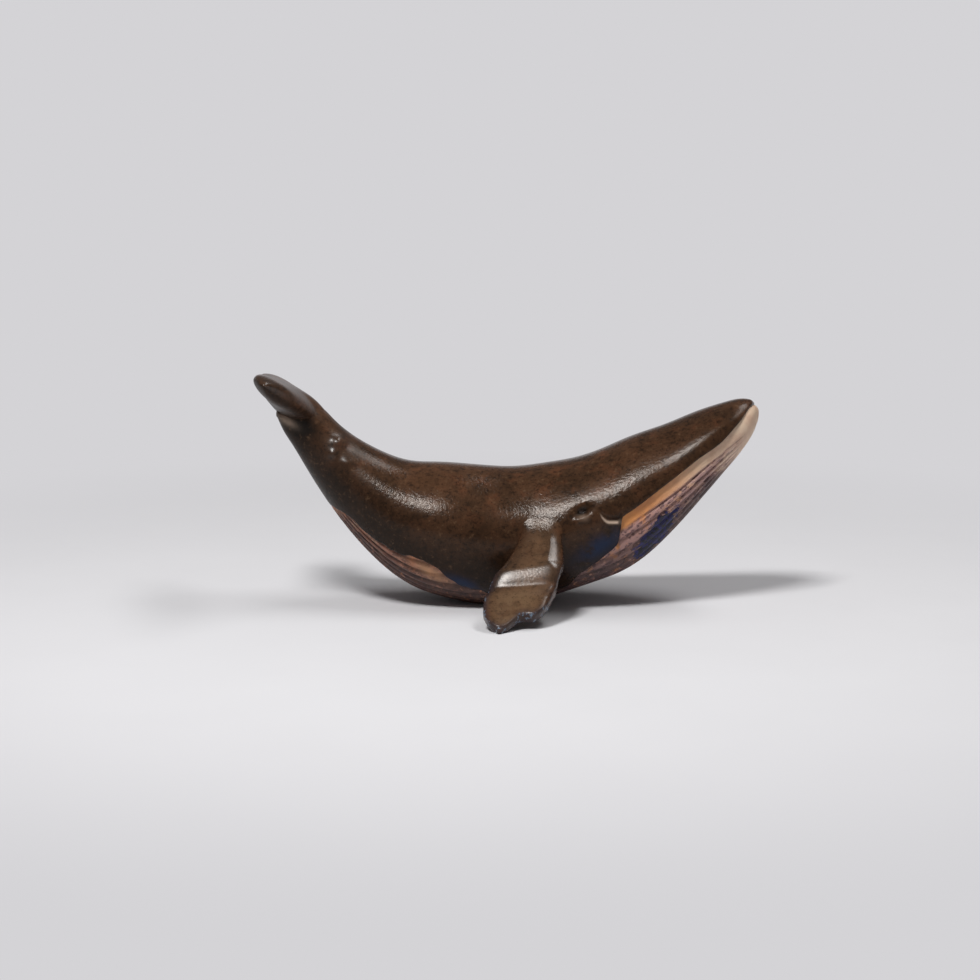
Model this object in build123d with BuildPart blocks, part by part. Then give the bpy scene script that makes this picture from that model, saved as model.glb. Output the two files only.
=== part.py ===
"""A hollow stoneware whale figurine, head towards +X, resting on its belly at Z = 0.

The maker forms it from separate pieces of clay, which are luted together before the
firing: a hollow back, a pleated belly plate that is also the lower jaw, two flippers,
two tail flukes and two eyes. Sizes are in millimetres.
"""

import os
from math import cos, radians, sin, sqrt

from build123d import *

# Body: the line of its underside, seen from the side
tail_reach = 54.8  # from the middle of the foot back to the end of the tail stock
head_reach = 59.5  # from the middle of the foot forward to the chin
tail_rise = 45.4  # underside of the tail stock's end above the lowest line of the belly
chin_rise = 43.2  # underside of the chin above the lowest line of the belly

# Body: its girth
body_depth = 33.6  # back to belly at the deepest section
body_width = 34.0  # side to side at the widest section
wall = 4.2  # thickness of the clay around the hollow
foot_cut = 1.0  # depth sanded off the belly to make the flat foot

# Lower jaw and throat
lip_step = 0.8  # how far the upper lip stands out over the lower jaw
pleat_pitch = 2.7  # between neighbouring throat grooves
pleat_width = 0.9
pleat_depth = 0.6
pleat_count = 9
vent_diameter = 2.5  # lets the steam and air out of the hollow in the kiln

# Flippers
flipper_span = 22.4  # from the body's side out to the tip
flipper_chord = 16.0
flipper_thickness = 6.9
flipper_root_depth = 6.0  # length of the root that is bedded against the body's side
flipper_tip_height = 2.1  # top of the tip above the surface that the figurine stands on
flipper_edge_share = 0.42  # radius of the rounded rim, as a share of the section's smaller side

# Tail flukes
fluke_span = 17.5  # from the middle out to one tip
fluke_chord = 18.4
fluke_thickness = 6.6
fluke_overlap = 4.0  # length of the root that wraps the tail stock

# Eyes
eye_radius = 1.7
eye_bulge = 0.7  # height of the eye above the side of the head

# One overrun serves every cutting tool
overrun = 10.0

# Upright sections from tail to snout: reach, rise of the underside, depth, width
body_section_shares = [
    (-1.000, 1.000, 0.070, 0.105),
    (-0.971, 0.925, 0.185, 0.195),
    (-0.923, 0.836, 0.340, 0.276),
    (-0.854, 0.687, 0.545, 0.347),
    (-0.776, 0.535, 0.637, 0.447),
    (-0.679, 0.385, 0.705, 0.588),
    (-0.557, 0.222, 0.818, 0.750),
    (-0.416, 0.101, 0.899, 0.868),
    (-0.250, 0.037, 0.979, 0.956),
    (-0.031, 0.000, 1.000, 1.000),
    (0.153, 0.044, 0.973, 1.000),
    (0.334, 0.127, 0.935, 0.985),
    (0.496, 0.211, 0.952, 0.926),
    (0.625, 0.361, 0.836, 0.824),
    (0.738, 0.528, 0.714, 0.728),
    (0.839, 0.701, 0.557, 0.612),
    (0.919, 0.829, 0.420, 0.474),
    (0.971, 0.928, 0.289, 0.322),
    (1.000, 1.000, 0.173, 0.160),
]
hollow_section_shares = body_section_shares[6:15]

# Share of the lip step that the lower jaw is drawn in by, at each section from tail to snout
jaw_step_shares = [0.0] * 11 + [0.5] + [1.0] * 5 + [0.5, 0.0]

# Seam between back and belly: reach, height above mid-depth as a share of half the depth
belly_seam_shares = [
    (-0.800, -1.20),
    (-0.745, -0.90),
    (-0.660, -0.77),
    (-0.571, -0.65),
    (-0.484, -0.44),
    (-0.397, -0.38),
    (-0.332, -0.39),
    (-0.237, -0.62),
    (-0.117, -0.71),
    (-0.031, -0.79),
    (0.091, -0.83),
    (0.222, -0.84),
    (0.287, -0.69),
    (0.366, -0.54),
    (0.435, -0.40),
]
mouth_seam_shares = [
    (0.455, 0.00),
    (0.496, 0.03),
    (0.625, 0.11),
    (0.738, 0.13),
    (0.839, 0.09),
    (0.919, 0.32),
    (0.971, 0.78),
    (1.000, 1.20),
]

# Flipper sections from root to tip: outward, fall of the upper face, leading and trailing edge, thickness
flipper_root_shares = (0.131, 0.085)  # reach, height above mid-depth
flipper_section_shares = [
    (0.000, -0.200, 0.420, -0.420, 1.80),
    (0.050, -0.050, 0.370, -0.360, 1.35),
    (0.120, 0.080, 0.330, -0.370, 1.06),
    (0.240, 0.174, 0.330, -0.450, 0.94),
    (0.415, 0.309, 0.310, -0.580, 0.94),
    (0.482, 0.437, 0.280, -0.690, 0.95),
    (0.540, 0.566, 0.230, -0.760, 0.87),
    (0.679, 0.700, 0.130, -0.825, 0.75),
    (0.790, 0.816, -0.030, -0.845, 0.65),
    (0.870, 0.893, -0.290, -0.840, 0.52),
    (0.951, 0.963, -0.400, -0.780, 0.34),
    (1.000, 1.000, -0.520, -0.690, 0.20),
]

# Where the flukes leave the tail stock: reach, height above mid-depth; and the blade's pitch
fluke_root_shares = (-0.880, 0.72)
fluke_pitch = 36.0

# Fluke sections from the middle out: outward, front edge, rear edge (of the chord), thickness
fluke_section_shares = [
    (0.00, 0.00, 0.93, 1.00),
    (0.20, 0.04, 0.95, 0.86),
    (0.42, 0.18, 0.97, 0.74),
    (0.64, 0.36, 0.96, 0.64),
    (0.82, 0.53, 0.93, 0.54),
    (0.94, 0.67, 0.88, 0.42),
    (1.00, 0.75, 0.83, 0.22),
]

# Eyes: reach, height above mid-depth as a share of half the depth
eye_shares = (0.290, 0.32)

middle_plane = Plane.XZ


def body_section(reach_share):
    """Middle of the body's section at a share of the reach to tail or head, with its depth and width."""
    low = [shares for shares in body_section_shares if shares[0] <= reach_share][-1]
    high = body_section_shares[min(body_section_shares.index(low) + 1, len(body_section_shares) - 1)]
    part_way = (reach_share - low[0]) / (high[0] - low[0]) if high is not low else 0.0
    rise, depth, width = (a + (b - a) * part_way for a, b in zip(low[1:], high[1:]))
    reach, rise_size = (tail_reach, tail_rise) if reach_share < 0 else (head_reach, chin_rise)
    middle_z = rise * rise_size - foot_cut + depth * body_depth / 2
    return Vector(reach_share * reach, 0, middle_z), depth * body_depth, width * body_width


def side_point(reach_share, height_share):
    """Point on the body's right side, at a share of half the depth above the section's middle."""
    middle, depth, width = body_section(reach_share)
    return middle + Vector(0, -sqrt(1 - height_share**2) * width / 2, height_share * depth / 2)


def seam_point(reach_share, height_share):
    """The seam's place seen from the side, as X and Z."""
    middle, depth, width = body_section(reach_share)
    return middle.X, middle.Z + height_share * depth / 2


def body_loft(section_shares, inset=0.0, step_shares=None):
    """Loft of the body's upright oval sections, drawn in all round by inset, and at the sides by the steps."""
    with BuildPart() as form:
        for number, shares in enumerate(section_shares):
            middle, depth, width = body_section(shares[0])
            step = step_shares[number] * lip_step if step_shares else 0.0
            with BuildSketch(Plane(origin=middle, x_dir=(0, 1, 0), z_dir=(1, 0, 0))):
                Ellipse(width / 2 - inset - step, depth / 2 - inset)
        loft()
    return form.part


body_form = body_loft(body_section_shares)
jaw_form = body_loft(body_section_shares, step_shares=jaw_step_shares)
hollow_form = body_loft(hollow_section_shares, wall)
pleat_floor_form = body_loft(body_section_shares, pleat_depth, jaw_step_shares)

# Everything under the seam, which the belly plate takes from the body
with BuildPart() as under_seam:
    with BuildSketch(middle_plane):
        with BuildLine():
            belly_points = [seam_point(*at) for at in belly_seam_shares]
            mouth_points = [seam_point(*at) for at in mouth_seam_shares]
            lip_x, lip_z = mouth_points[-1]
            tail_x, tail_z = belly_points[0]
            Spline(*belly_points)
            Line(belly_points[-1], mouth_points[0])
            Spline(*mouth_points)
            Polyline(
                mouth_points[-1],
                (lip_x + overrun, lip_z),
                (lip_x + overrun, -overrun),
                (tail_x, -overrun),
                (tail_x, tail_z),
            )
        make_face()
    extrude(amount=body_width, both=True)

# Right eye, a ball of clay pressed into the side of the head
eye_surface = side_point(*eye_shares)
eye_sink = eye_radius - eye_bulge
with BuildPart(Plane(eye_surface + Vector(0, eye_sink, 0))) as right_eye:
    Sphere(eye_radius)

with BuildPart() as left_eye:
    mirror(right_eye.part, about=middle_plane)

# Back: the hollow upper body with the upper jaw, the cheeks and the tail stock
with BuildPart() as back_shell:
    add(body_form)
    add(hollow_form, mode=Mode.SUBTRACT)
    add(under_seam.part, mode=Mode.SUBTRACT)
    add(right_eye.part, mode=Mode.SUBTRACT)
    add(left_eye.part, mode=Mode.SUBTRACT)

# Thin upright slabs along the throat, cut off at the floor of the grooves
with BuildPart() as pleat_cutter:
    with GridLocations(0, pleat_pitch, 1, pleat_count):
        Box((tail_reach + head_reach) * 2, pleat_width, chin_rise * 2)
    add(pleat_floor_form, mode=Mode.SUBTRACT)

# Belly: lower jaw, pleated throat and belly in one plate, with the flat foot and its vent
with BuildPart() as belly_plate:
    add(jaw_form)
    add(hollow_form, mode=Mode.SUBTRACT)
    add(under_seam.part, mode=Mode.INTERSECT)
    add(pleat_cutter.part, mode=Mode.SUBTRACT)
    split(bisect_by=Plane.XY, keep=Keep.TOP)
    with Locations(Plane.XY):
        Cylinder(vent_diameter / 2, wall * 2, mode=Mode.SUBTRACT)

# Right flipper: a paddle flared onto the side, which drops at a knee and lies out to a slanted tip
flipper_root = side_point(*flipper_root_shares)
flipper_fall = flipper_root.Z - flipper_tip_height
flipper_bed_shares = (-flipper_root_depth / flipper_span, *flipper_section_shares[0][1:])
with BuildPart() as right_flipper:
    for outward, downward, leading, trailing, thickness in [flipper_bed_shares, *flipper_section_shares]:
        width = (leading - trailing) * flipper_chord
        depth = thickness * flipper_thickness
        travel = Vector((leading + trailing) / 2 * flipper_chord, -outward * flipper_span, -downward * flipper_fall)
        middle = flipper_root + travel - Vector(0, 0, depth / 2)
        with BuildSketch(Plane(origin=middle, x_dir=(1, 0, 0), z_dir=(0, -1, 0))):
            RectangleRounded(width, depth, min(width, depth) * flipper_edge_share)
    loft()
    add(body_form, mode=Mode.SUBTRACT)

with BuildPart() as left_flipper:
    mirror(right_flipper.part, about=middle_plane)

# Right fluke: a blade from the middle plane out to its tip, saddled over the tail stock
fluke_root = seam_point(*fluke_root_shares)
backward_axis = Vector(-cos(radians(fluke_pitch)), 0, sin(radians(fluke_pitch)))
fluke_start = Vector(fluke_root[0], 0, fluke_root[1]) - backward_axis * fluke_overlap
with BuildPart() as right_fluke:
    for outward, front, rear, thickness in fluke_section_shares:
        along = backward_axis * ((front + rear) / 2 * fluke_chord)
        place = fluke_start + along + Vector(0, -outward * fluke_span, 0)
        with BuildSketch(Plane(origin=place, x_dir=backward_axis, z_dir=(0, -1, 0))):
            Ellipse((rear - front) / 2 * fluke_chord, thickness / 2 * fluke_thickness)
    loft()
    add(body_form, mode=Mode.SUBTRACT)

with BuildPart() as left_fluke:
    mirror(right_fluke.part, about=middle_plane)

pieces = {
    "back_shell": back_shell,
    "belly_plate": belly_plate,
    "right_flipper": right_flipper,
    "left_flipper": left_flipper,
    "right_fluke": right_fluke,
    "left_fluke": left_fluke,
    "right_eye": right_eye,
    "left_eye": left_eye,
}
os.makedirs("parts", exist_ok=True)
for name, piece in pieces.items():
    piece.part.label = name
    export_step(piece.part, f"parts/{name}.step")
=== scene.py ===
"""The looks of a hollow stoneware whale: a satin brown glaze over the back, flippers and
flukes, and a bare pale belly plate with scored, stained throat grooves.

Lengths are in millimetres until a mesh is made. Head towards +X, right side towards -Y.
"""

import math

import bpy
import numpy as np
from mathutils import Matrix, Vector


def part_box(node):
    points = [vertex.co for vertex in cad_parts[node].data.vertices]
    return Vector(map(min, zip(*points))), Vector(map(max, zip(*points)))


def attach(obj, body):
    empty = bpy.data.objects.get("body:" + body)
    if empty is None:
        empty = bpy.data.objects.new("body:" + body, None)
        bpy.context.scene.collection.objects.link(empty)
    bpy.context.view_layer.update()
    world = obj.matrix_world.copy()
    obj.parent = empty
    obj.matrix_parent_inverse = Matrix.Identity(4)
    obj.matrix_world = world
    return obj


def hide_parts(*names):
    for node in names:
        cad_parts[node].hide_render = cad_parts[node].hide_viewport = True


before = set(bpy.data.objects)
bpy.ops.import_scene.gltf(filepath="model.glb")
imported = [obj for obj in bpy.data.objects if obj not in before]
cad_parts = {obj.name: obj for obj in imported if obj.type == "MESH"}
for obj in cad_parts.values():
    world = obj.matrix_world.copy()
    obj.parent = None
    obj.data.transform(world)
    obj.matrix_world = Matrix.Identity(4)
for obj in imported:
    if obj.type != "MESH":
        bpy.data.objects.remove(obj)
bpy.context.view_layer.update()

MM = 0.001


def node_box(node):
    """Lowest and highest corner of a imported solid, in millimetres."""
    low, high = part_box(node)
    return np.array(low) / MM, np.array(high) / MM


# Driving sizes of the body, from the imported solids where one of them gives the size
BACK_LOW, BACK_HIGH = node_box("back_shell")
TAIL_REACH = -BACK_LOW[0]
HEAD_REACH = node_box("belly_plate")[1][0]
BODY_WIDTH = BACK_HIGH[1] - BACK_LOW[1]
BODY_DEPTH = 33.6
TAIL_RISE = 45.4
CHIN_RISE = 43.2
FOOT_CUT = 1.0
WALL = 4.2
WALL_SHARE = 0.7
MOUTH_CORNER = HEAD_REACH * 0.447
EYE_DROP = 0.4
EYE_CENTRE = sum(node_box("right_eye")) / 2
EYE_X, EYE_Z = EYE_CENTRE[0], EYE_CENTRE[2] - EYE_DROP

# Upright sections from tail to snout: reach, rise of the underside, depth, width
SECTION_SHARES = np.array([
    (-1.000, 1.000, 0.070, 0.105),
    (-0.971, 0.925, 0.185, 0.195),
    (-0.923, 0.836, 0.340, 0.276),
    (-0.854, 0.687, 0.545, 0.347),
    (-0.776, 0.535, 0.637, 0.447),
    (-0.679, 0.385, 0.705, 0.588),
    (-0.557, 0.222, 0.818, 0.750),
    (-0.416, 0.101, 0.899, 0.868),
    (-0.250, 0.037, 0.979, 0.956),
    (-0.031, 0.000, 1.000, 1.000),
    (0.153, 0.044, 0.973, 1.000),
    (0.334, 0.127, 0.935, 0.985),
    (0.496, 0.211, 0.952, 0.926),
    (0.625, 0.361, 0.836, 0.824),
    (0.738, 0.528, 0.714, 0.728),
    (0.839, 0.701, 0.557, 0.612),
    (0.919, 0.829, 0.420, 0.474),
    (0.971, 0.928, 0.289, 0.322),
    (1.000, 1.000, 0.173, 0.160),
])

# Edge of the glaze: reach, height above mid-depth as a share of half the depth
SEAM_SHARES = np.array([
    (-0.780, -1.00),
    (-0.745, -0.82),
    (-0.675, -0.60),
    (-0.600, -0.54),
    (-0.484, -0.44),
    (-0.397, -0.38),
    (-0.332, -0.39),
    (-0.237, -0.62),
    (-0.117, -0.71),
    (-0.031, -0.79),
    (0.091, -0.83),
    (0.222, -0.84),
    (0.287, -0.69),
    (0.366, -0.54),
    (0.435, -0.40),
    (0.455, 0.00),
    (0.496, 0.03),
    (0.625, 0.11),
    (0.738, 0.13),
    (0.839, 0.09),
    (0.919, 0.32),
    (0.971, 0.78),
    (0.990, 0.93),
    (1.000, 1.00),
])


# Curves and soft shapes


def smooth_curve(at, knots, values):
    """Cubic Hermite curve through knots; its slope at one is the harmonic mean of the chords
    beside it, or none where these turn."""
    run = np.diff(knots)
    chord = np.diff(values) / run
    product = chord[:-1] * chord[1:]
    total = np.where(product > 0, chord[:-1] + chord[1:], 1.0)
    inner = np.where(product > 0, 2 * product / total, 0.0)
    slope = np.concatenate([chord[:1], inner, chord[-1:]])
    cell = np.clip(np.searchsorted(knots, at, side="right") - 1, 0, len(run) - 1)
    t = np.clip((at - knots[cell]) / run[cell], 0.0, 1.0)
    start = values[cell] * (1 + 2 * t) + slope[cell] * run[cell] * t
    end = values[cell + 1] * (3 - 2 * t) - slope[cell + 1] * run[cell] * (1 - t)
    return start * (1 - t) ** 2 + end * t**2


def ramp(value, low, high):
    """0 at low, 1 at high, and smooth between; low may be above high."""
    share = np.clip((value - low) / (high - low), 0.0, 1.0)
    return share * share * (3 - 2 * share)


def rise(value, low, length):
    """0 up to low, then straight up to 1 over a length."""
    return np.clip((value - low) / length, 0.0, 1.0)


def bell(distance, half_width):
    """1 at no distance, falling as a bell to about a third at the half width."""
    return np.exp(-((distance / half_width) ** 2))


def mound(x, z, centre, half_length, half_height, lean):
    """Soft mound in side view: 1 at its centre, falling as a bell along and across its
    leaning length."""
    ahead, above = x - centre[0], z - centre[1]
    lengthwise = (ahead * math.cos(lean) + above * math.sin(lean)) / half_length
    crosswise = (above * math.cos(lean) - ahead * math.sin(lean)) / half_height
    return np.exp(-lengthwise**2 - crosswise**2)


def forms_at(x, z, forms):
    """Sum of named mounds in side view, each times its own strength."""
    return sum(strength * mound(x, z, *form) for strength, *form in forms.values())


def rolled_edge(distance, radius):
    """How far a quarter-round edge drops below its face, at a distance from the edge."""
    short = 1 - np.clip(distance / radius, 0.0, 1.0)
    return radius * (1 - np.sqrt(1 - short**2))


# The body's ovals

EASE_REACH = 4.0
EASE_TAPER = 2.5
EASE_STEPS = np.linspace(-1.0, 1.0, 7)

# No inset draws an oval in below this share of its own size
LEAST_SHARE = 0.25


def along(reach_shares):
    """Place along X of shares of the reach: of the tail's below zero, of the head's above."""
    return reach_shares * np.where(reach_shares < 0, TAIL_REACH, HEAD_REACH)


SECTION_X = along(SECTION_SHARES[:, 0])
SECTION_RISE = SECTION_SHARES[:, 1] * np.where(SECTION_X < 0, TAIL_RISE, CHIN_RISE) - FOOT_CUT
SEAM_X = along(SEAM_SHARES[:, 0])
SEAM_START = SEAM_X[0]


def eased(x, values):
    """Smooth curve through the sections, averaged over a short reach each way that shrinks to
    none at the ends."""
    from_end = np.minimum(x - SECTION_X[0], SECTION_X[-1] - x)
    reach = np.clip(from_end / EASE_TAPER, 0.0, EASE_REACH)
    places = [smooth_curve(x + reach * step, SECTION_X, values) for step in EASE_STEPS]
    return sum(places) / len(EASE_STEPS)


def section(x):
    """Mid-height, half depth and half width of the body's oval at x."""
    half_depth = eased(x, SECTION_SHARES[:, 2]) * BODY_DEPTH / 2
    half_width = eased(x, SECTION_SHARES[:, 3]) * BODY_WIDTH / 2
    return eased(x, SECTION_RISE) + half_depth, half_depth, half_width


def wobble(x, angle):
    """Unevenness of pressed clay: a few long sine waves along the body and round it."""
    up, aside = np.sin(angle), np.cos(angle)
    long_waves = np.sin(0.17 * x + 2.0 * aside) + np.sin(0.11 * x - 3.0 * up + 1.3)
    return 0.06 * long_waves + 0.03 * np.sin(0.43 * x + 4.0 * aside + 0.7)


def body_point(x, angle, inset):
    """Point of the oval at x and an angle, drawn in by an inset. The angle is 0 at the right
    side and a quarter turn at the back."""
    middle, half_depth, half_width = section(x)
    drawn = inset + wobble(x, angle)
    deep = np.maximum(half_depth - drawn, LEAST_SHARE * half_depth)
    wide = np.maximum(half_width - drawn, LEAST_SHARE * half_width)
    x, angle = np.broadcast_arrays(x, angle)
    return np.stack([x, -wide * np.cos(angle), middle + deep * np.sin(angle)], axis=-1)


def seam_angle(x):
    """Angle of the glaze's edge at x, on the right side, with the small waves of a brushed
    edge, which stop short of the mouth's corner."""
    height = smooth_curve(x, SEAM_X, SEAM_SHARES[:, 1])
    brushed = 0.012 * np.sin(0.8 * x) + 0.008 * np.sin(1.9 * x + 1.0)
    held = rise(MOUTH_CORNER - x, 2.0, 4.0) * rise(x, SEAM_START, 6.0)
    return np.arcsin(np.clip(height + brushed * held, -1.0, 1.0))


# Grids and meshes

SPREAD_STEPS = 4000
END_CROWDING = 6.0
END_REACH = 1.5
FOCUS_CROWDING = 2.5
EDGE_CROWDING = 0.12
SMALLEST_RING = 0.02


def spread(low, high, count, focus, reach):
    """Places from low to high, closer together near both ends and within a reach of the
    focus."""
    fine = np.linspace(low, high, SPREAD_STEPS)
    ends = END_CROWDING * (bell(fine - low, END_REACH) + bell(high - fine, END_REACH))
    weight = np.cumsum(1 + ends + FOCUS_CROWDING * bell(fine - focus, reach))
    return np.interp(np.linspace(weight[0], weight[-1], count), weight, fine)


def crowded(count):
    """Shares from 0 to 1 that crowd towards both ends."""
    even = np.linspace(0.0, 1.0, count)
    return even - EDGE_CROWDING * np.sin(2 * np.pi * even)


def blunt_end(rings, distance, length):
    """Draws the rings within a length of an end in towards their middle, as a quarter circle."""
    short = 1 - np.clip(distance / length, 0.0, 1.0)
    size = np.maximum(np.sqrt(1 - short**2), SMALLEST_RING)
    middle = rings.mean(axis=1, keepdims=True)
    return middle + (rings - middle) * size[:, None, None]


def flat_outline(count):
    """Places across a flat section, from -1 to 1 on top and back again underneath, and the
    side of each: 1 on top, -1 underneath."""
    across = -np.cos(np.linspace(0.0, np.pi, count))
    side = np.concatenate([np.ones(count), -np.ones(count - 2)])
    return np.concatenate([across, across[-2:0:-1]]), side


def fullness(across, power):
    """Half thickness at a place across a section: 1 in the middle, 0 at its edges, and blunter
    for a high power."""
    return (1 - np.abs(across) ** power) ** (1 / power)


def ring_faces(rows, columns, outward):
    """Quads between neighbouring closed rings, and strips across the first and last ring that
    close them."""
    row, column = np.meshgrid(np.arange(rows - 1), np.arange(columns), indexing="ij")
    after = (column + 1) % columns
    quads = np.stack([row, row, row + 1, row + 1], -1) * columns
    quads = (quads + np.stack([column, after, after, column], -1)).reshape(-1, 4)
    near = np.arange(columns // 2)
    far = (columns - near) % columns
    strip = np.stack([near, near + 1, (far - 1) % columns, far], -1)
    faces = np.concatenate([quads, strip[:, ::-1], strip + (rows - 1) * columns])
    faces = faces if outward else faces[:, ::-1]
    return [list(dict.fromkeys(face)) for face in faces.tolist()]


def faces_outward(rings):
    """Whether the rings' quads face outwards: they do where the volume in them is positive."""
    ahead = np.roll(rings, -1, axis=1)
    normal = np.cross(ahead[1:] - rings[:-1], rings[1:] - ahead[:-1])
    corners = rings[:-1] + ahead[:-1] + rings[1:] + ahead[1:] - 4 * rings.mean(axis=(0, 1))
    return float((normal * corners).sum()) > 0


def make_piece(name, rings, node, finish, marks=None, flat_start=False):
    """Mesh of closed rings, closed at both ends, that stands for a node of the frame and rides
    with it. A flat start keeps the first ring's end sharp."""
    rows, columns = rings.shape[:2]
    points = rings.reshape(-1, 3) * MM
    mesh = bpy.data.meshes.new(name)
    mesh.from_pydata(points.tolist(), [], ring_faces(rows, columns, faces_outward(rings)))
    for label, values in (marks or {}).items():
        layer = mesh.attributes.new(label, "FLOAT", "POINT")
        layer.data.foreach_set("value", np.ascontiguousarray(values, dtype=np.float32).ravel())
    mesh.polygons.foreach_set("use_smooth", np.ones(len(mesh.polygons), dtype=bool))
    if flat_start:
        ends = np.zeros(2 * len(mesh.edges), dtype=np.int32)
        mesh.edges.foreach_get("vertices", ends)
        sharp = mesh.attributes.new("sharp_edge", "BOOLEAN", "EDGE")
        sharp.data.foreach_set("value", (ends.reshape(-1, 2) < columns).all(axis=1))
    mesh.materials.append(finish)
    mesh.update()
    piece = bpy.data.objects.new(name, mesh)
    bpy.context.collection.objects.link(piece)
    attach(piece, "root")
    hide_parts(node)


# Shader maths


class Value:
    """One output of a node tree. Arithmetic on it adds Math nodes, and node() adds any other."""

    def __init__(self, tree, socket=None):
        self.tree = tree
        self.socket = socket

    def node(self, kind, settings, inputs, output=0):
        """Adds a node: its settings first, then the values or links of its sockets; gives one
        output."""
        made = self.tree.nodes.new(kind)
        for key, setting in settings.items():
            setattr(made, key, setting)
        for key, given in inputs.items():
            if isinstance(given, Value):
                self.tree.links.new(given.socket, made.inputs[key])
            else:
                made.inputs[key].default_value = given
        return Value(self.tree, made.outputs[output])

    def maths(self, operation, *terms):
        """A Math node of an operation on values and numbers."""
        return self.node("ShaderNodeMath", {"operation": operation}, dict(enumerate(terms)))

    def __add__(self, other):
        return self.maths("ADD", self, other)

    def __radd__(self, other):
        return self.maths("ADD", other, self)

    def __sub__(self, other):
        return self.maths("SUBTRACT", self, other)

    def __rsub__(self, other):
        return self.maths("SUBTRACT", other, self)

    def __mul__(self, other):
        return self.maths("MULTIPLY", self, other)

    def __rmul__(self, other):
        return self.maths("MULTIPLY", other, self)

    def between(self, low, high):
        """0 at low, 1 at high, and smooth between; low may be above high."""
        ends = {"Value": self, "From Min": low, "From Max": high}
        return self.node("ShaderNodeMapRange", {"interpolation_type": "SMOOTHSTEP"}, ends)

    def noise(self, scale, detail=2.0, roughness=0.5, distortion=0.0):
        """Noise over this vector, from 0 to 1, with about scale lumps to the metre."""
        inputs = {"Vector": self, "Scale": scale, "Detail": detail, "Roughness": roughness}
        return self.node("ShaderNodeTexNoise", {}, {**inputs, "Distortion": distortion})

    def mix(self, first, second):
        """Colour that goes from first to second as this value goes from 0 to 1."""
        inputs = {0: self, 6: first, 7: second}
        return self.node("ShaderNodeMix", {"data_type": "RGBA"}, inputs, 2)

    def named(self, label):
        """The piece's own attribute of that name, or 0 where the piece has none."""
        return self.node("ShaderNodeAttribute", {"attribute_name": label}, {}, 2)

    def axis(self, letter):
        """One coordinate of this vector."""
        return self.node("ShaderNodeSeparateXYZ", {}, {0: self}, letter)

    def bump(self, strength, distance):
        """Normal of a surface whose height is this value times a distance in metres."""
        inputs = {"Strength": strength, "Distance": distance, "Height": self}
        return self.node("ShaderNodeBump", {}, inputs)


def srgb(red, green, blue):
    """Linear colour of an everyday 0 to 255 colour."""
    share = np.array([red, green, blue]) / 255
    linear = np.where(share <= 0.04045, share / 12.92, ((share + 0.055) / 1.055) ** 2.4)
    return (*linear.tolist(), 1.0)


def new_finish(name):
    """An empty material: its shader, and the piece's own place as a vector."""
    material = bpy.data.materials.new(name)
    material.use_nodes = True
    tree = material.node_tree
    place = Value(tree).node("ShaderNodeTexCoord", {}, {}, "Object")
    return material, tree.nodes["Principled BSDF"], place


def connect(shader, **inputs):
    """Links or sets the shader's inputs; an underscore stands for a space."""
    for key, given in inputs.items():
        target = shader.inputs[key.replace("_", " ")]
        if isinstance(given, Value):
            given.tree.links.new(given.socket, target)
        else:
            target.default_value = given


# Glaze and clay

DEEP_BROWN = srgb(57, 39, 26)
WARM_BROWN = srgb(84, 57, 39)
RUST_BROWN = srgb(100, 61, 40)
THIN_BROWN = srgb(110, 85, 62)
POOL_AND_SHADE_BROWN = srgb(20, 13, 9)
PIT_BROWN = srgb(18, 13, 9)
GRAIN_BROWN = srgb(24, 16, 11)
PALE_SPECK = srgb(112, 86, 64)
COBALT_WASH = srgb(24, 40, 68)
RIM_GREY = srgb(50, 45, 52)
RIM_FLECK = srgb(118, 138, 158)
BARE_AND_HIGHLIGHT_PALE = srgb(206, 182, 162)
WARM_GLOSS = (1.0, 0.92, 0.85, 1.0)
GLAZE_IOR = 1.28
WIPED_ROUGHNESS = 0.26
GLAZE_BUMP = 0.00009

MOUTH_CLAY = srgb(224, 150, 86)
CHIN_CLAY = srgb(222, 196, 170)
TAIL_CLAY = srgb(186, 122, 82)
TAIL_PATCH = srgb(208, 162, 124)
RUDDY_CLAY = srgb(178, 118, 92)
MAUVE_WASH = srgb(176, 138, 134)
THROAT_STAIN = srgb(80, 52, 55)
TAIL_STAIN = srgb(72, 42, 28)
GROOVE_STAIN = srgb(58, 36, 34)
KEEL_STAIN_AND_SHADE = srgb(46, 30, 33)
WORN_CLAY = srgb(198, 148, 108)
COBALT_DARK = srgb(12, 9, 22)
COBALT_BLUE = srgb(30, 27, 88)
DABS_TO_METRE = 480
DAB_ROWS_TO_PLEAT = 2
CLAY_BUMP = 0.00014

EYE_BLACK = srgb(20, 14, 12)
EYE_BROWN = srgb(46, 32, 24)


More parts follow.
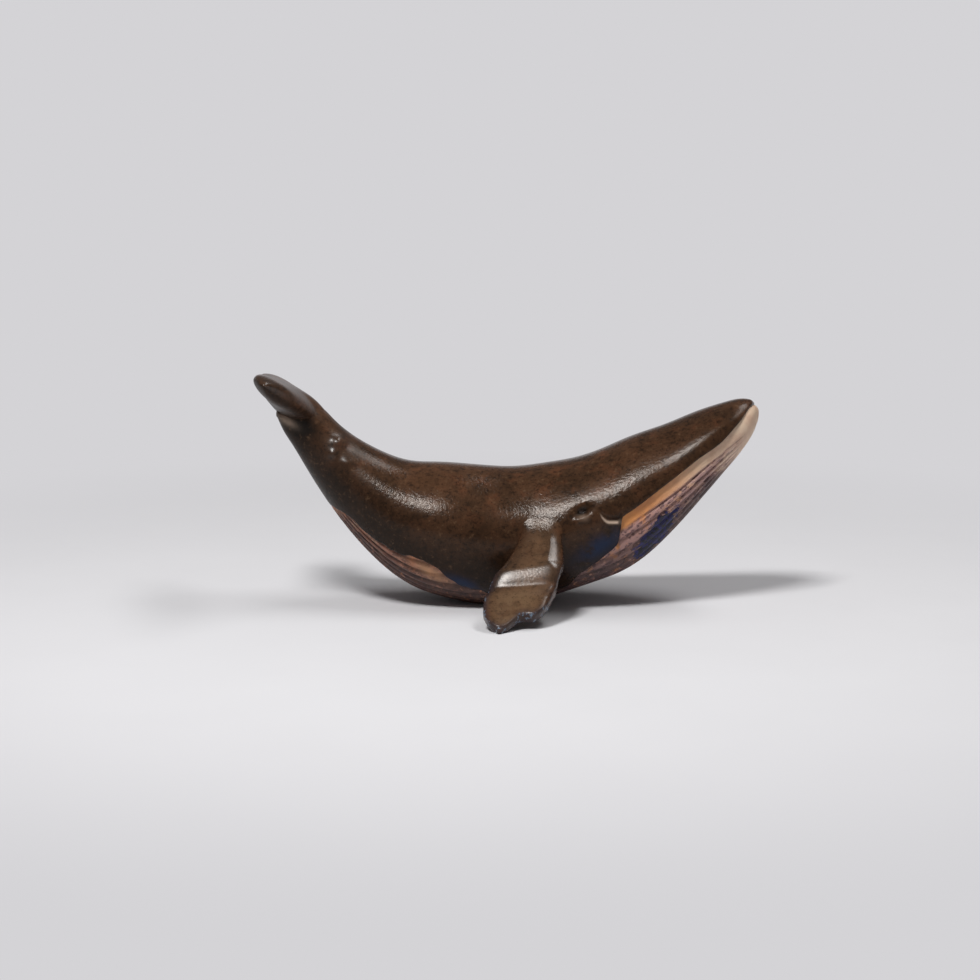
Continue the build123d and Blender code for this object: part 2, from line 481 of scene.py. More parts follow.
def brown_glaze():
    """Satin brown glaze: cloudy and grainy, dark where the glaze pools and where shade is painted
    on, paler where it thinned, blue by the cobalt, grey with pale flecks at rims, pale where
    highlights are painted on, and glossier where it was wiped."""
    material, shader, place = new_finish("brown_glaze")
    cloud = place.noise(95, 4.0, 0.6, 0.4)
    thin = place.noise(240, 3.0, 0.55)
    lumps = place.noise(420, 2.0, 0.5)
    mottle = place.noise(800, 4.0, 0.7)
    grain = place.noise(1700, 2.0, 0.6)
    pool_and_shade = place.named("pool_and_shade")
    thinned = place.named("thinned")
    wiped = place.named("wiped")
    rim = place.named("rim")
    brown = cloud.between(0.3, 0.7).mix(DEEP_BROWN, WARM_BROWN)
    brown = (thin.between(0.5, 0.72) * (1 - pool_and_shade) * 0.5).mix(brown, RUST_BROWN)
    brown = (thinned * thin.between(0.2, 0.55)).mix(brown, THIN_BROWN)
    # Glaze pooling in the hollows, and painted shade: low on the flanks, a little over the head,
    # under the fluke's root, in the eye's slot, on the flippers' trailing halves and under the flukes
    brown = (pool_and_shade * 0.85).mix(brown, POOL_AND_SHADE_BROWN)
    brown = (mottle.between(0.52, 0.32) * (0.6 - 0.35 * thinned)).mix(brown, PIT_BROWN)
    brown = (mottle.between(0.56, 0.74) * 0.4).mix(brown, PALE_SPECK)
    brown = (grain.between(0.42, 0.25) * 0.7).mix(brown, GRAIN_BROWN)
    brown = (place.named("cobalt") * thin.between(0.3, 0.5)).mix(brown, COBALT_WASH)
    brown = (rim * 0.7).mix(brown, RIM_GREY)
    flecks = rim.between(0.6, 1.0) * mottle.between(0.55, 0.64)
    brown = (flecks * 0.7).mix(brown, RIM_FLECK)
    # Painted highlights in a pale clay colour: the lower lip's line, which is partly unglazed clay,
    # the lower lid and a spot under the tail root
    brown = place.named("bare_and_highlight").mix(brown, BARE_AND_HIGHLIGHT_PALE)
    matt_tail = place.axis("X").between(-0.030, -0.040)
    gloss = 0.16 + 0.1 * cloud + 0.2 * matt_tail
    normal = ((lumps * 0.3 + grain * 0.7) * (1 - 0.5 * wiped)).bump(1.0, GLAZE_BUMP)
    connect(shader, Base_Color=brown, Roughness=gloss, Normal=normal, Coat_Weight=0.8 * wiped)
    connect(shader, IOR=GLAZE_IOR, Specular_Tint=WARM_GLOSS, Coat_Roughness=WIPED_ROUGHNESS)
    return material


def bare_clay():
    """Bare buff clay: orange by the mouth's corner, pale at the chin and browner under the
    tail, washed mauve where it is scored, with rows of stain dabs, stained grooves, a keel dark
    with stain and painted shade, a worn patch and a cobalt one."""
    material, shader, place = new_finish("bare_clay")
    cloud = place.noise(160, 3.0, 0.6)
    blotch = place.noise(330, 3.0, 0.65)
    speck = place.noise(850, 3.0, 0.65)
    grain = place.noise(1800, 2.0, 0.6)
    groove = place.named("groove")
    scored = place.named("scored")
    keel = place.named("keel")
    patch = place.named("cobalt")
    forward = place.axis("X")
    under_tail = forward.between(0.012, -0.010)
    buff = forward.between(0.030, 0.052).mix(MOUTH_CLAY, CHIN_CLAY)
    buff = under_tail.mix(buff, TAIL_CLAY)
    buff = (under_tail * blotch.between(0.5, 0.62) * 0.8).mix(buff, TAIL_PATCH)
    buff = (cloud.between(0.4, 0.7) * 0.4).mix(buff, RUDDY_CLAY)
    mauve = blotch.between(0.28, 0.52) * scored * (0.9 - 0.6 * under_tail)
    buff = mauve.mix(buff, MAUVE_WASH)
    along_row = forward * DABS_TO_METRE + 3.0 * speck
    across_rows = place.named("pleat") * DAB_ROWS_TO_PLEAT + 1.6 * speck
    rows = place.node("ShaderNodeCombineXYZ", {}, {0: along_row, 1: across_rows})
    flat = {"voronoi_dimensions": "2D"}
    cell = place.node("ShaderNodeTexVoronoi", flat, {"Vector": rows, "Scale": 1.0}, "Distance")
    dabs = (0.7 * blotch - cell).between(-0.1, 0.18) * scored * (0.8 - 0.2 * under_tail)
    buff = dabs.mix(buff, under_tail.mix(THROAT_STAIN, TAIL_STAIN))
    in_groove = groove * blotch.between(0.3, 0.55) * (0.4 + 0.5 * under_tail)
    buff = in_groove.mix(buff, GROOVE_STAIN)
    # Darker towards the keel and under the tail: stain, with painted shade
    low_down = (keel + 0.15 * under_tail).between(0.15, 0.55)
    buff = (low_down * speck.between(0.22, 0.48) * 0.85).mix(buff, KEEL_STAIN_AND_SHADE)
    buff = (place.named("worn") * blotch.between(0.3, 0.5)).mix(buff, WORN_CLAY)
    ragged = (patch + 0.6 * blotch + speck).between(1.1, 1.3) * patch.between(0.05, 0.3)
    buff = ragged.mix(buff, speck.between(0.42, 0.62).mix(COBALT_DARK, COBALT_BLUE))
    normal = (speck * 0.7 + grain * 0.3).bump(0.6, CLAY_BUMP)
    connect(shader, Base_Color=buff, Roughness=0.45 + 0.25 * cloud, Normal=normal)
    return material


def eye_glaze():
    """Glossy near-black glaze with a faint brown cloud."""
    material, shader, place = new_finish("eye_glaze")
    cloud = place.noise(700, 2.0)
    black = cloud.mix(EYE_BLACK, EYE_BROWN)
    connect(shader, Base_Color=black, Roughness=0.12 + 0.1 * cloud)
    return material


BROWN_GLAZE = brown_glaze()
BARE_CLAY = bare_clay()
EYE_GLAZE = eye_glaze()


# Relief of the sides

HEAD_LEAN = 0.44

# Soft ridge of the head in side view, from the shoulder over the eye to the snout: reach, height
HEAD_RIDGE = np.array([
    (2.0, 20.2),
    (9.4, 23.6),
    (13.0, 24.9),
    (17.0, 26.3),
    (20.1, 27.4),
    (26.0, 29.6),
    (30.5, 31.7),
    (35.0, 34.4),
    (39.2, 37.0),
    (43.1, 39.2),
    (47.9, 41.9),
    (54.9, 46.5),
])
RIDGE_STARTS = (2.0, 12.0)
RIDGE_ENDS = (58.0, 51.0)

# Hooked line at the mouth's corner: its level run, and where its rear end turns up
SMILE_HEIGHT = 22.3
SMILE_TURN = 24.0
SMILE_HOOK = 0.33
SMILE_STARTS = (21.4, 22.6)
SMILE_ENDS = (MOUTH_CORNER + 0.9, MOUTH_CORNER)

# Forms pressed into the side, or standing out where the depth is negative:
# depth, centre along and up, half length, half height, lean
SIDE_FORMS = {
    "eye hollow": (1.0, (EYE_X + 0.3, EYE_Z + 0.1), 2.1, 1.0, HEAD_LEAN),
    "lower lid": (-0.4, (EYE_X + 0.6, EYE_Z - 1.3), 1.3, 0.7, 0.2),
    "lid's rear end": (-0.3, (EYE_X - 0.8, EYE_Z - 1.8), 0.9, 0.8, 0.0),
    "upper knot": (-0.9, (-40.0, 39.2), 1.4, 1.2, 0.0),
    "rear knot": (-0.6, (-41.4, 36.8), 1.2, 1.0, 0.0),
    "front knot": (-0.35, (-38.0, 34.8), 1.6, 1.0, 0.0),
    "shoulder": (-0.7, (9.0, 17.0), 6.0, 3.5, 0.35),
    "waist": (0.7, (2.0, 28.0), 8.0, 4.5, 0.15),
    "haunch": (-1.1, (-17.0, 20.0), 12.0, 7.0, -0.3),
    "snout": (-0.2, (50.0, 43.0), 4.5, 1.5, 0.6),
    "tail root": (-1.2, (-46.5, 45.2), 4.0, 2.6, -0.5),
}


def beside_ridge(x, z, above, half_height):
    """Soft band along the head's ridge, its middle at a distance above it; it fades out at
    both ends."""
    from_middle = z - smooth_curve(x, HEAD_RIDGE[:, 0], HEAD_RIDGE[:, 1]) - above
    return ramp(x, *RIDGE_STARTS) * ramp(x, *RIDGE_ENDS) * bell(from_middle, half_height)


def from_smile(x, z):
    """Height above the hooked line at the mouth's corner, and how far the line is there at
    all."""
    height = z - (SMILE_HEIGHT + SMILE_HOOK * np.clip(SMILE_TURN - x, 0.0, None) ** 2)
    return height, ramp(x, *SMILE_STARTS) * ramp(x, *SMILE_ENDS)


def side_relief(x, z):
    """How far the clay is pressed in at a place in side view, negative where it stands out:
    the sum of the named forms, the bands beside the head's ridge and the mouth's hooked line."""
    smile, length = from_smile(x, z)
    crease = 0.6 * length * bell(smile - 0.2, 0.45)
    lower_lip = 0.5 * length * bell(smile + 0.75, 0.6)
    cheek = 0.5 * beside_ridge(x, z, -4.5, 6.0)
    temple = 0.4 * beside_ridge(x, z, 4.0, 4.5)
    return forms_at(x, z, SIDE_FORMS) + crease + temple - lower_lip - cheek


# Back

BACK_ROWS, BACK_COLUMNS = 350, 210
WALL_COLUMNS = 40
EYE_FOCUS = (22.0, 6.0)
TAIL_OVERHANG = 0.4
SNOUT_SHORT = 0.5
BACK_TAIL_ROUNDING = 0.8
BACK_SNOUT_ROUNDING = 0.9
GLAZE_LIP = 0.55
GLAZE_LIP_RUN = 3.0

# Painted marks on the back in side view: strength, centre, half length, half height, lean
BACK_COBALT = {
    "cheek": (1.0, (21.6, 15.9), 6.0, 2.3, 0.58),
    "behind the flipper": (1.0, (-10.6, 6.8), 4.5, 1.4, -0.38),
}
# Painted highlights, in the pale clay colour: a spot under the tail root and the lower lid
BACK_PAINTED_HIGHLIGHTS = {
    "under the tail root": (0.5, (-52.3, 44.0), 2.4, 0.9, -0.47),
    "lower lid": (0.22, (EYE_X + 0.4, EYE_Z - 1.2), 1.3, 0.6, 0.0),
}
BACK_WIPED = {
    "knots": (1.0, (-40.0, 38.4), 3.4, 2.6, 0.5),
}
# Painted shade: a shadow under the fluke's root, and dark in the eye's slot
BACK_PAINTED_SHADE = {
    "tail crease": (0.8, (-48.0, 43.2), 4.0, 2.2, -0.5),
    "eye slot": (1.3, (EYE_X + 0.2, EYE_Z + 0.3), 1.7, 0.8, HEAD_LEAN),
}


def with_wall(values, wall):
    """Values on the outer side of the rings, and none on the inner wall."""
    return np.concatenate([values, np.zeros(wall.shape[:2])], axis=1)


def back_shell():
    """Ring at each x: the outer oval from glaze edge over the back to glaze edge, drawn in by
    the rolled edge and the relief, and the inner wall back again."""
    x = spread(-TAIL_REACH - TAIL_OVERHANG, HEAD_REACH - SNOUT_SHORT, BACK_ROWS, *EYE_FOCUS)
    x_column = x[:, None]
    start = seam_angle(x)[:, None]
    turn = np.pi - 2 * start
    angle = start + turn * crowded(BACK_COLUMNS)
    middle, half_depth, half_width = (size[:, None] for size in section(x))
    girth = 0.5 * (half_depth + half_width)
    distance = np.minimum(angle - start, np.pi - start - angle) * girth
    height = middle + half_depth * np.sin(angle)
    relief = side_relief(x_column, height)
    lip = rolled_edge(distance, GLAZE_LIP) * ramp(x_column, SEAM_START, SEAM_START + GLAZE_LIP_RUN)
    outer = body_point(x_column, angle, lip + relief)
    inner_angle = start + turn * np.linspace(1.0, 0.0, WALL_COLUMNS)
    inner = body_point(x_column, inner_angle, np.minimum(WALL, WALL_SHARE * girth))
    rings = np.concatenate([outer, inner], axis=1)
    rings = blunt_end(rings, x - x[0], BACK_TAIL_ROUNDING)
    rings = blunt_end(rings, x[-1] - x, BACK_SNOUT_ROUNDING)
    # Pale line along the lower lip: unglazed clay with a painted highlight
    smile, length = from_smile(x_column, height)
    smile_highlight_line = 0.8 * length * bell(smile + 0.4, 0.27)
    pressed = np.clip(2 * relief - 0.6, 0.0, 1.0) * (x_column > EYE_X - 4.0)
    # Painted shade: darker low on the flank, reaching higher towards the tail, and a little over the
    # head from just ahead of the eye to the snout
    shade_line = 0.6 + 0.25 * ramp(x_column, -5.0, -30.0)
    low_painted_shade = 0.95 * np.clip(shade_line - np.sin(angle), 0.0, 1.0)
    low_painted_shade = np.maximum(low_painted_shade, 0.22 * ramp(x_column, 22.0, 34.0))
    # Glaze pooling in the pressed hollows by the head, joined with the painted shade
    pool_and_shade = np.maximum(pressed, low_painted_shade) + forms_at(x_column, height, BACK_PAINTED_SHADE)
    marks = {
        "cobalt": with_wall(forms_at(x_column, height, BACK_COBALT), inner),
        "bare_and_highlight": with_wall(smile_highlight_line + forms_at(x_column, height, BACK_PAINTED_HIGHLIGHTS), inner),
        "wiped": with_wall(forms_at(x_column, height, BACK_WIPED), inner),
        "pool_and_shade": with_wall(pool_and_shade, inner),
    }
    make_piece("back", rings, "back_shell", BROWN_GLAZE, marks)


# Belly

BELLY_ROWS, BELLY_COLUMNS = 340, 230
MOUTH_FOCUS = (MOUTH_CORNER, 3.0)
CHIN_OVERHANG = 0.6
BELLY_TAIL_ROUNDING = 0.6
CHIN_ROUNDING = 1.2
PLEATS = 15
PLEAT_DEPTH = 0.6
PLEAT_HALF_WIDTH = 0.2
CLEAN_LIP = 2.8
GLAZE_STEP, GLAZE_STEP_WIDTH = 0.25, 2.5
JAW_STEP, JAW_STEP_WIDTH = 0.45, 7.0
VENT_RADIUS = 1.25
VENT_BLUR = 0.25
VENT_DEPTH = 3.4

# How far round from the keel the scored grooves reach, as an angle, along the body
PLEAT_REACH = np.array([
    (-43.0, 0.95),
    (-25.0, 1.20),
    (-5.0, 1.25),
    (12.0, 1.35),
    (27.0, 1.48),
    (45.0, 1.50),
    (60.0, 1.30),
])

# Line of the mouth, drawn on under the cheek: reach, height as a share of half the depth
MOUTH_LINE = np.concatenate([[(0.0, -0.02)], SEAM_SHARES[SEAM_SHARES[:, 0] > 0.45]])

# Painted marks on the belly in side view: strength, centre, half length, half height, lean
BELLY_COBALT = {
    "throat": (1.2, (35.0, 17.8), 7.5, 2.3, 0.95),
}
BELLY_WORN = {
    "behind the flipper": (0.85, (-18.3, 9.4), 4.2, 1.3, -0.6),
}


def belly_plate():
    """Ring at each x: the outer oval from glaze edge under the belly to glaze edge, stepped
    below the glaze and the lip, scored by bell-shaped grooves at even angles and flat at the
    foot, and the inner wall back again."""
    x = spread(SEAM_START, HEAD_REACH + CHIN_OVERHANG, BELLY_ROWS, *MOUTH_FOCUS)
    x_column = x[:, None]
    start = seam_angle(x)[:, None]
    turn = np.pi + 2 * start
    angle = start - turn * crowded(BELLY_COLUMNS)
    half_depth, half_width = (size[:, None] for size in section(x)[1:])
    girth = 0.5 * (half_depth + half_width)
    distance = np.minimum(start - angle, angle + np.pi + start) * girth
    lip = np.arcsin(smooth_curve(x_column, MOUTH_LINE[:, 0] * HEAD_REACH, MOUTH_LINE[:, 1]))
    from_lip = np.maximum(np.minimum(lip - angle, angle + np.pi + lip) * girth, 0.0)
    mouth = rise(x_column, 12.0, 14.0)
    step = GLAZE_STEP * bell(distance, GLAZE_STEP_WIDTH)
    step = step + JAW_STEP * mouth * bell(from_lip, JAW_STEP_WIDTH)
    reach = smooth_curve(x_column, PLEAT_REACH[:, 0], PLEAT_REACH[:, 1])
    from_keel = (angle + np.pi / 2) / reach
    pleat = PLEATS / 2 * (1 + from_keel) + 0.15 * np.sin(0.16 * x_column + 7 * from_keel)
    scored = rise(pleat, 0.0, 0.5) * rise(PLEATS - pleat, 0.0, 0.5)
    scored = scored * rise(HEAD_REACH - x_column, 2.0, 10.0) * rise(x_column, SEAM_START, 5.0)
    scored = scored * (1 - mouth * np.clip(1 + CLEAN_LIP - from_lip, 0.0, 1.0))
    groove = bell(pleat % 1.0 - 0.5, PLEAT_HALF_WIDTH) * scored
    outer = body_point(x_column, angle, step + PLEAT_DEPTH * groove)
    outer[..., 2] = np.maximum(outer[..., 2], 0.0)
    from_vent = np.hypot(outer[..., 0], outer[..., 1])
    vent = ramp(from_vent, VENT_RADIUS + VENT_BLUR, VENT_RADIUS - VENT_BLUR)
    outer[..., 2] = outer[..., 2] + VENT_DEPTH * vent
    inner_angle = start - turn * np.linspace(1.0, 0.0, WALL_COLUMNS)
    inner = body_point(x_column, inner_angle, np.minimum(WALL, WALL_SHARE * girth))
    rings = np.concatenate([outer, inner], axis=1)
    rings = blunt_end(rings, x - x[0], BELLY_TAIL_ROUNDING)
    rings = blunt_end(rings, x[-1] - x, CHIN_ROUNDING)
    height = rings[..., 2]
    keel = np.clip(1 - np.abs(from_keel), 0.0, 1.0) * scored
    marks = {
        "worn": forms_at(x_column, height, BELLY_WORN),
        "groove": with_wall(groove, inner),
        "scored": with_wall(scored, inner),
        "pleat": with_wall(pleat, inner),
        "keel": with_wall(keel, inner),
        "cobalt": np.minimum(forms_at(x_column, height, BELLY_COBALT), 1.0),
    }
    make_piece("belly", rings, "belly_plate", BARE_CLAY, marks)


back_shell()
belly_plate()


# Flippers

# Right flipper's upper face from root to tip: outward, height, trailing edge, leading edge, thickness
FLIPPER_ROWS = np.array([
    (12.0, 24.0, 5.8, 11.3, 7.0),
    (15.0, 22.1, 4.4, 11.9, 6.8),
    (18.0, 19.7, 2.8, 12.5, 6.5),
    (22.3, 16.1, 0.3, 13.1, 5.9),
    (24.4, 14.4, -1.4, 13.1, 5.5),
    (26.2, 13.1, -2.9, 12.8, 5.2),
    (27.7, 11.1, -3.9, 12.2, 5.0),
    (29.0, 9.1, -4.6, 11.4, 4.7),
    (30.2, 8.35, -5.1, 10.7, 4.5),
    (32.1, 7.0, -5.5, 9.7, 4.2),
    (34.6, 5.1, -5.7, 8.7, 3.7),
    (36.9, 3.5, -5.4, 8.2, 3.2),
    (39.6, 1.9, -4.9, 7.6, 2.6),
])
ROW_OUTWARD, ROW_HEIGHT, ROW_TRAILING, ROW_LEADING, ROW_THICKNESS = FLIPPER_ROWS.T

# How far out the flipper's nibbled tip reaches, from trailing edge to leading edge
FLIPPER_TIP = np.array([
    (-1.00, 35.6),
    (-0.88, 37.9),
    (-0.72, 39.2),
    (-0.52, 39.8),
    (-0.30, 39.3),
    (-0.10, 38.1),
    (0.06, 36.9),
    (0.22, 36.1),
    (0.38, 36.0),
    (0.58, 36.2),
    (0.76, 35.6),
    (0.90, 34.6),
    (1.00, 33.2),
])
FLIPPER_LENGTHWISE, FLIPPER_ACROSS = 140, 64
FLIPPER_ROOT = 13.0
FLIPPER_FILLET = 7.5
FLIPPER_FLARE = 4.5
FLIPPER_FLARE_CHORD = 0.75
FLIPPER_BLUNT, FLIPPER_ROOT_SOFTER = 4.5, 1.8
FLIPPER_RIM = 0.8
FLIPPER_RIM_DROP = 0.55
FLIPPER_DISH = 0.4
FLIPPER_BEVEL = 0.26
FLIPPER_BEVEL_WIDTH = 0.45
FLIPPER_PITCH = 0.14
FLIPPER_SUNK = 0.3
FLIPPER_EASE = 1.6
FLIPPER_LOWEST = 0.1
SLOPE_STEP = 0.1
SIDE_CORRECTIONS = 2


def flipper_row(outward, measure):
    """One measure of the flipper's rows, at a distance outward."""
    return smooth_curve(outward, ROW_OUTWARD, measure)


def body_side(x, height):
    """How far out the body's pressed side lies at x and a height, found by corrections of the
    plain oval."""
    middle, half_depth, half_width = section(x)
    angle = np.arcsin(np.clip((height - middle) / half_depth, -1.0, 1.0))
    for _ in range(SIDE_CORRECTIONS):
        drawn = wobble(x, angle) + side_relief(x, middle + half_depth * np.sin(angle))
        angle = np.arcsin(np.clip((height - middle) / (half_depth - drawn), -1.0, 1.0))
    return (half_width - drawn) * np.cos(angle)


def right_flipper():
    """Blunt-edged sections along the upper face's bent line, flared underneath at the root.
    The arm is bevelled along its leading edge and the paddle dished. Near the root, a smooth
    maximum of the flipper's distance outward and the body's lets it flow into the side."""
    across, side = flat_outline(FLIPPER_ACROSS)
    on_top = side > 0
    tip = smooth_curve(across, FLIPPER_TIP[:, 0], FLIPPER_TIP[:, 1])
    outward = FLIPPER_ROOT + (tip - FLIPPER_ROOT) * crowded(FLIPPER_LENGTHWISE)[:, None]
    from_tip = tip - outward
    near_root = np.clip(1 - (outward - FLIPPER_ROOT) / FLIPPER_FILLET, 0.0, 1.0)
    paddle = rise(outward, 28.5, 3.0)
    arm = ramp(outward, 17.0, 20.0) * ramp(outward, 28.6, 25.6)
    climb = flipper_row(outward + SLOPE_STEP, ROW_HEIGHT)
    climb = climb - flipper_row(outward - SLOPE_STEP, ROW_HEIGHT)
    slope = climb / (2 * SLOPE_STEP)
    normal_out = -slope / np.sqrt(1 + slope**2)
    normal_up = 1 / np.sqrt(1 + slope**2)
    thickness = flipper_row(outward, ROW_THICKNESS)
    trailing = flipper_row(outward, ROW_TRAILING)
    leading = flipper_row(outward, ROW_LEADING)
    flare = FLIPPER_FLARE * (1 - np.sqrt(1 - near_root**2))
    half_chord = (leading - trailing) / 2 + FLIPPER_FLARE_CHORD * flare
    full = fullness(across, FLIPPER_BLUNT - FLIPPER_ROOT_SOFTER * near_root)
    rounded = 1 - FLIPPER_RIM_DROP * rolled_edge(from_tip, FLIPPER_RIM) / FLIPPER_RIM
    raised = side * full * rounded * (thickness / 2 + flare * (side < 0))
    dished = FLIPPER_DISH * paddle * (1 - across**2) ** 2
    bevel_start = 0.46 + 0.3 * ramp(outward, 24.4, 27.6)
    bevel_run = np.clip(across - bevel_start, 0.0, FLIPPER_BEVEL_WIDTH) * half_chord
    raised = raised - (FLIPPER_BEVEL * arm * bevel_run + dished) * on_top - thickness / 2
    x = (leading + trailing) / 2 + across * half_chord
    pitched = FLIPPER_PITCH * across * half_chord * (1 - near_root) * (1 - paddle)
    height = flipper_row(outward, ROW_HEIGHT) + pitched + raised * normal_up
    height = np.maximum(height, FLIPPER_LOWEST)
    body = body_side(x, height)
    clear = outward + raised * normal_out - body
    easing = FLIPPER_EASE * ramp(outward, 24.0, 18.0)
    eased_out = body + 0.5 * (clear + np.sqrt(clear**2 + easing**2))
    rings = np.stack([x, FLIPPER_SUNK * near_root - eased_out, height], axis=-1)
    rear_edge = bell(np.minimum((1 + across) * half_chord, from_tip), 1.1)
    front_edge = 0.35 * bell((1 - across) * half_chord, 0.9)
    streak = ramp(across, 0.35, 0.6) * on_top * ramp(outward, 16.5, 19.5)
    marks = {
        "rim": np.maximum(rear_edge, front_edge) * rise(outward, 24.0, 4.0),
        "thinned": (0.45 + 0.55 * paddle) * (1 - near_root) * on_top * (1 - across**2),
        "wiped": (1 - 0.8 * paddle) * (0.42 * ramp(outward, 20.0, 25.0) + 0.58 * streak),
        # Painted shade over the trailing half of the arm, short of the paddle
        "pool_and_shade": 0.5 * ramp(across, 0.0, -0.9) * (1 - paddle),
    }
    return rings, marks


# Flukes

# Fluke from the middle out to its tip: outward, front edge, rear edge, thickness.
# The first row lies past the middle, so that the two halves meet without a ridge.
FLUKE_SHARES = np.array([
    (-0.20, -0.02, 0.95, 0.90),
    (0.00, -0.35, 0.93, 1.00),
    (0.20, -0.02, 0.95, 0.90),
    (0.42, 0.18, 0.97, 0.80),
    (0.64, 0.36, 0.96, 0.72),
    (0.82, 0.52, 0.93, 0.64),
    (0.94, 0.63, 0.90, 0.56),
    (1.00, 0.69, 0.87, 0.48),
])
FLUKE_SPANWISE, FLUKE_ACROSS = 70, 44
FLUKE_TIP_CROWDING = 1.6
FLUKE_SPAN = 17.5
FLUKE_CHORD = 18.4
FLUKE_THICKNESS = 7.0
FLUKE_BLUNT = 2.3
FLUKE_ROUNDING = 6.0
FLUKE_PITCH = math.radians(36.0)
FLUKE_START = np.array([-45.0, 0.0, 43.9])
TAIL_ROLL = 0.10


def fluke_row(outward, column):
    """One measure of the fluke's rows, as a column over shares of the span."""
    return smooth_curve(outward, FLUKE_SHARES[:, 0], FLUKE_SHARES[:, column])[:, None]


def right_fluke():
    """Oval sections side by side from the middle plane to the rounded tip, along the pitched
    chord, feathered at the root's front and fuller under the root."""
    across, side = flat_outline(FLUKE_ACROSS)
    outward = 1 - (1 - np.linspace(0.0, 1.0, FLUKE_SPANWISE)) ** FLUKE_TIP_CROWDING
    front, rear, thickness = (fluke_row(outward, column) for column in (1, 2, 3))
    backward = FLUKE_CHORD * ((front + rear) / 2 + across * (rear - front) / 2)
    near_root = 1 - outward[:, None]
    feathered = 1 - 0.8 * near_root**2 * np.clip(-across, 0.0, 1.0) ** 1.5
    feathered = feathered + 0.35 * near_root**3 * (side < 0)
    half_thickness = fullness(across, FLUKE_BLUNT) * thickness / 2 * FLUKE_THICKNESS
    raised = side * half_thickness * (1 - 0.2 * across) * feathered
    chordwise = np.array([-math.cos(FLUKE_PITCH), 0.0, math.sin(FLUKE_PITCH)])
    upward = np.array([math.sin(FLUKE_PITCH), 0.0, math.cos(FLUKE_PITCH)])
    rings = FLUKE_START + backward[..., None] * chordwise + raised[..., None] * upward
    rings[..., 1] = -FLUKE_SPAN * outward[:, None]
    marks = {
        # Painted shade underneath the fluke
        "pool_and_shade": 0.8 * ramp(raised, 0.8, -0.8),
        "wiped": (0.55 + 0.25 * ramp(near_root, 0.5, 0.2)) * (side > 0),
    }
    return blunt_end(rings, FLUKE_SPAN * (1 - outward), FLUKE_ROUNDING), marks


def rolled(rings):
    """The flukes as they were pressed on: a little higher on the right than on the left."""
    x, y, z = np.moveaxis(rings, -1, 0)
    return np.stack([x, y, z - TAIL_ROLL * y], axis=-1)


# Eyes

EYE_SHARE = 0.72
EYE_SUNK = 0.45
EYE_POLE = 0.02
EYE_RINGS, EYE_ROUND = 40, 64


def eye_ball(node):
    """Ball of clay at the node's place: rings round its sideways axis, from pole to pole."""
    low, high = node_box(node)
    polar = np.linspace(EYE_POLE, np.pi - EYE_POLE, EYE_RINGS)[:, None]
    turn = np.linspace(0.0, 2 * np.pi, EYE_ROUND, endpoint=False)
    ball = [np.sin(polar) * np.cos(turn), np.cos(polar) + 0 * turn, np.sin(polar) * np.sin(turn)]
    centre = (low + high) / 2
    sunk = centre - np.array([0.0, EYE_SUNK * np.sign(centre[1]), EYE_DROP])
    return sunk + np.stack(ball, axis=-1) * EYE_SHARE * (high - low) / 2


SIDES = {"right": np.array([1.0, 1.0, 1.0]), "left": np.array([1.0, -1.0, 1.0])}

flipper_rings, flipper_marks = right_flipper()
for side_name, mirror in SIDES.items():
    flipper = f"{side_name}_flipper"
    paddle = flipper_rings * mirror
    make_piece(f"{flipper}_paddle", paddle, flipper, BROWN_GLAZE, flipper_marks)

fluke_rings, fluke_marks = right_fluke()
for side_name, mirror in SIDES.items():
    fluke = f"{side_name}_fluke"
    blade = rolled(fluke_rings * mirror)
    make_piece(f"{fluke}_blade", blade, fluke, BROWN_GLAZE, fluke_marks,
               flat_start=True)

for side_name in SIDES:
    eye = f"{side_name}_eye"
    make_piece(f"{eye}_ball", eye_ball(eye), eye, EYE_GLAZE)


# Stage, camera and light

BACKDROP_GREY = srgb(212, 211, 214)
PAPER_DARK = srgb(228, 227, 229)
PAPER_LIGHT = srgb(232, 231, 233)
SHADOW_REACH = (0.09, 0.26)
FLOOR_FRONT = -1600.0
CURVE_START = 900.0
CURVE_RADIUS = 400.0
BACKDROP_TOP = 450.0
BACKDROP_HALF_WIDTH = 1800.0
CURVE_STEPS = 24


def backdrop_paper():
    """Pale paper that keeps the shadow near the object, and further off is evenly pale to the
    camera and in reflections."""
    material, shader, place = new_finish("backdrop_paper")
    paper = place.noise(30, 2.0).mix(PAPER_DARK, PAPER_LIGHT)
    connect(shader, Base_Color=paper, Roughness=0.9)
    even = place.node("ShaderNodeEmission", {}, {"Color": BACKDROP_GREY, "Strength": 1.0})
    seen = place.node("ShaderNodeLightPath", {}, {}, "Is Camera Ray")
    mirrored = place.node("ShaderNodeLightPath", {}, {}, "Is Glossy Ray")
    through = place.node("ShaderNodeLightPath", {}, {}, "Is Transmission Ray")
    away = place.node("ShaderNodeVectorMath", {"operation": "LENGTH"}, {0: place}, "Value")
    share = (seen + mirrored + through) * away.between(*SHADOW_REACH)
    lit = Value(place.tree, shader.outputs[0])
    paper_mix = place.node("ShaderNodeMixShader", {}, {0: share, 1: lit, 2: even})
    place.tree.links.new(paper_mix.socket, place.tree.nodes["Material Output"].inputs["Surface"])
    return material


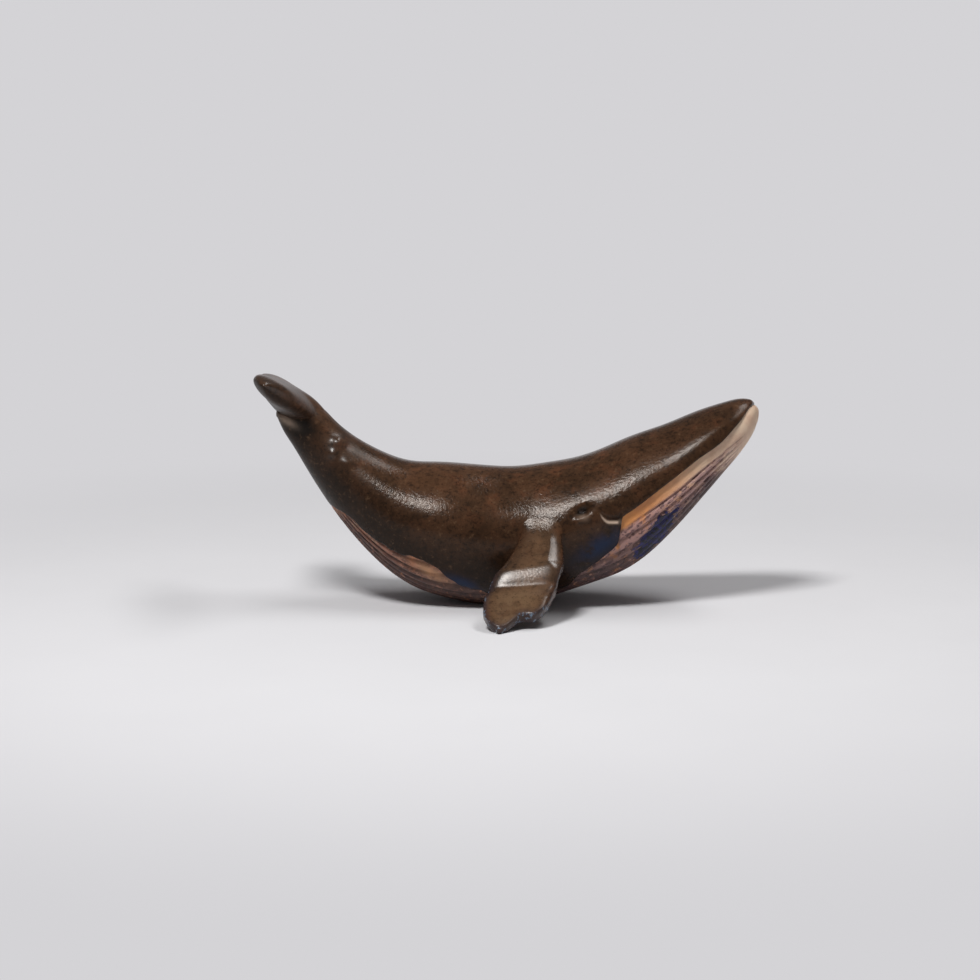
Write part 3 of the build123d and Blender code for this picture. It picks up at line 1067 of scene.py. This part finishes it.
def stage_backdrop():
    """A pale floor that curves up into a wall: straight run, quarter circle, straight rise,
    drawn sideways."""
    turn = np.linspace(0.0, np.pi / 2, CURVE_STEPS)
    upright = CURVE_START + CURVE_RADIUS
    run = np.concatenate([[FLOOR_FRONT], CURVE_START + CURVE_RADIUS * np.sin(turn), [upright]])
    height = np.concatenate([[0.0], CURVE_RADIUS - CURVE_RADIUS * np.cos(turn), [BACKDROP_TOP]])
    width = np.array([-BACKDROP_HALF_WIDTH, BACKDROP_HALF_WIDTH])
    grid = np.stack(np.broadcast_arrays(width[:, None], run, height), axis=-1).reshape(-1, 3)
    count = len(run)
    faces = [(n, n + count, n + count + 1, n + 1) for n in range(count - 1)]
    mesh = bpy.data.meshes.new("backdrop")
    mesh.from_pydata((grid * MM).tolist(), [], faces)
    mesh.polygons.foreach_set("use_smooth", np.ones(len(faces), dtype=bool))
    mesh.materials.append(backdrop_paper())
    backdrop = bpy.data.objects.new("backdrop", mesh)
    bpy.context.collection.objects.link(backdrop)


VIEW_ELEVATION = math.radians(9.0)
VIEW_DISTANCE = 650.0
VIEW_FIELD = 235.2
VIEW_TARGET = np.array([-4.1, 0.0, 26.9])
SENSOR_WIDTH = 36.0


def photo_camera():
    """Camera that looks at the right side from a little above, at the photograph's distance
    and field."""
    data = bpy.data.cameras.new("camera")
    data.sensor_width = SENSOR_WIDTH
    data.lens = data.sensor_width * VIEW_DISTANCE / VIEW_FIELD
    camera = bpy.data.objects.new("camera", data)
    toward = np.array([0.0, -math.cos(VIEW_ELEVATION), math.sin(VIEW_ELEVATION)])
    camera.location = (VIEW_TARGET + VIEW_DISTANCE * toward) * MM
    camera.rotation_euler = (math.pi / 2 - VIEW_ELEVATION, 0.0, 0.0)
    bpy.context.collection.objects.link(camera)
    bpy.context.scene.camera = camera


# Lamps: direction from the object, width, height, radiance
KEY_LAMP = ((-0.26, -0.48, 0.83), 180.0, 150.0, 48.0)
FILL_LAMP = ((0.39, 0.12, 0.91), 560.0, 150.0, 7.0)
LAMP_DISTANCE = 750.0
WORLD_STRENGTH = 0.18


def soft_lamp(name, toward, width, height, radiance):
    """Rectangular lamp that shines at the object from a direction, with a given radiance."""
    data = bpy.data.lights.new(name, "AREA")
    data.shape = "RECTANGLE"
    data.size = width * MM
    data.size_y = height * MM
    data.energy = radiance * math.pi * data.size * data.size_y
    lamp = bpy.data.objects.new(name, data)
    direction = np.array(toward) / np.linalg.norm(toward)
    lamp.location = (VIEW_TARGET + LAMP_DISTANCE * direction) * MM
    tilt = math.atan2(math.hypot(direction[0], direction[1]), direction[2])
    lamp.rotation_euler = (tilt, 0.0, math.atan2(direction[0], -direction[1]))
    bpy.context.collection.objects.link(lamp)


def studio_light():
    """A soft key lamp above and in front on the left, a weaker long strip above and a little
    behind on the right, and a faint even world."""
    soft_lamp("key", *KEY_LAMP)
    soft_lamp("fill", *FILL_LAMP)
    world = bpy.data.worlds.new("world")
    world.use_nodes = True
    bpy.context.scene.world = world
    background = world.node_tree.nodes["Background"]
    background.inputs["Color"].default_value = BACKDROP_GREY
    background.inputs["Strength"].default_value = WORLD_STRENGTH


stage_backdrop()
photo_camera()
studio_light()
bpy.context.scene.view_settings.view_transform = "Standard"
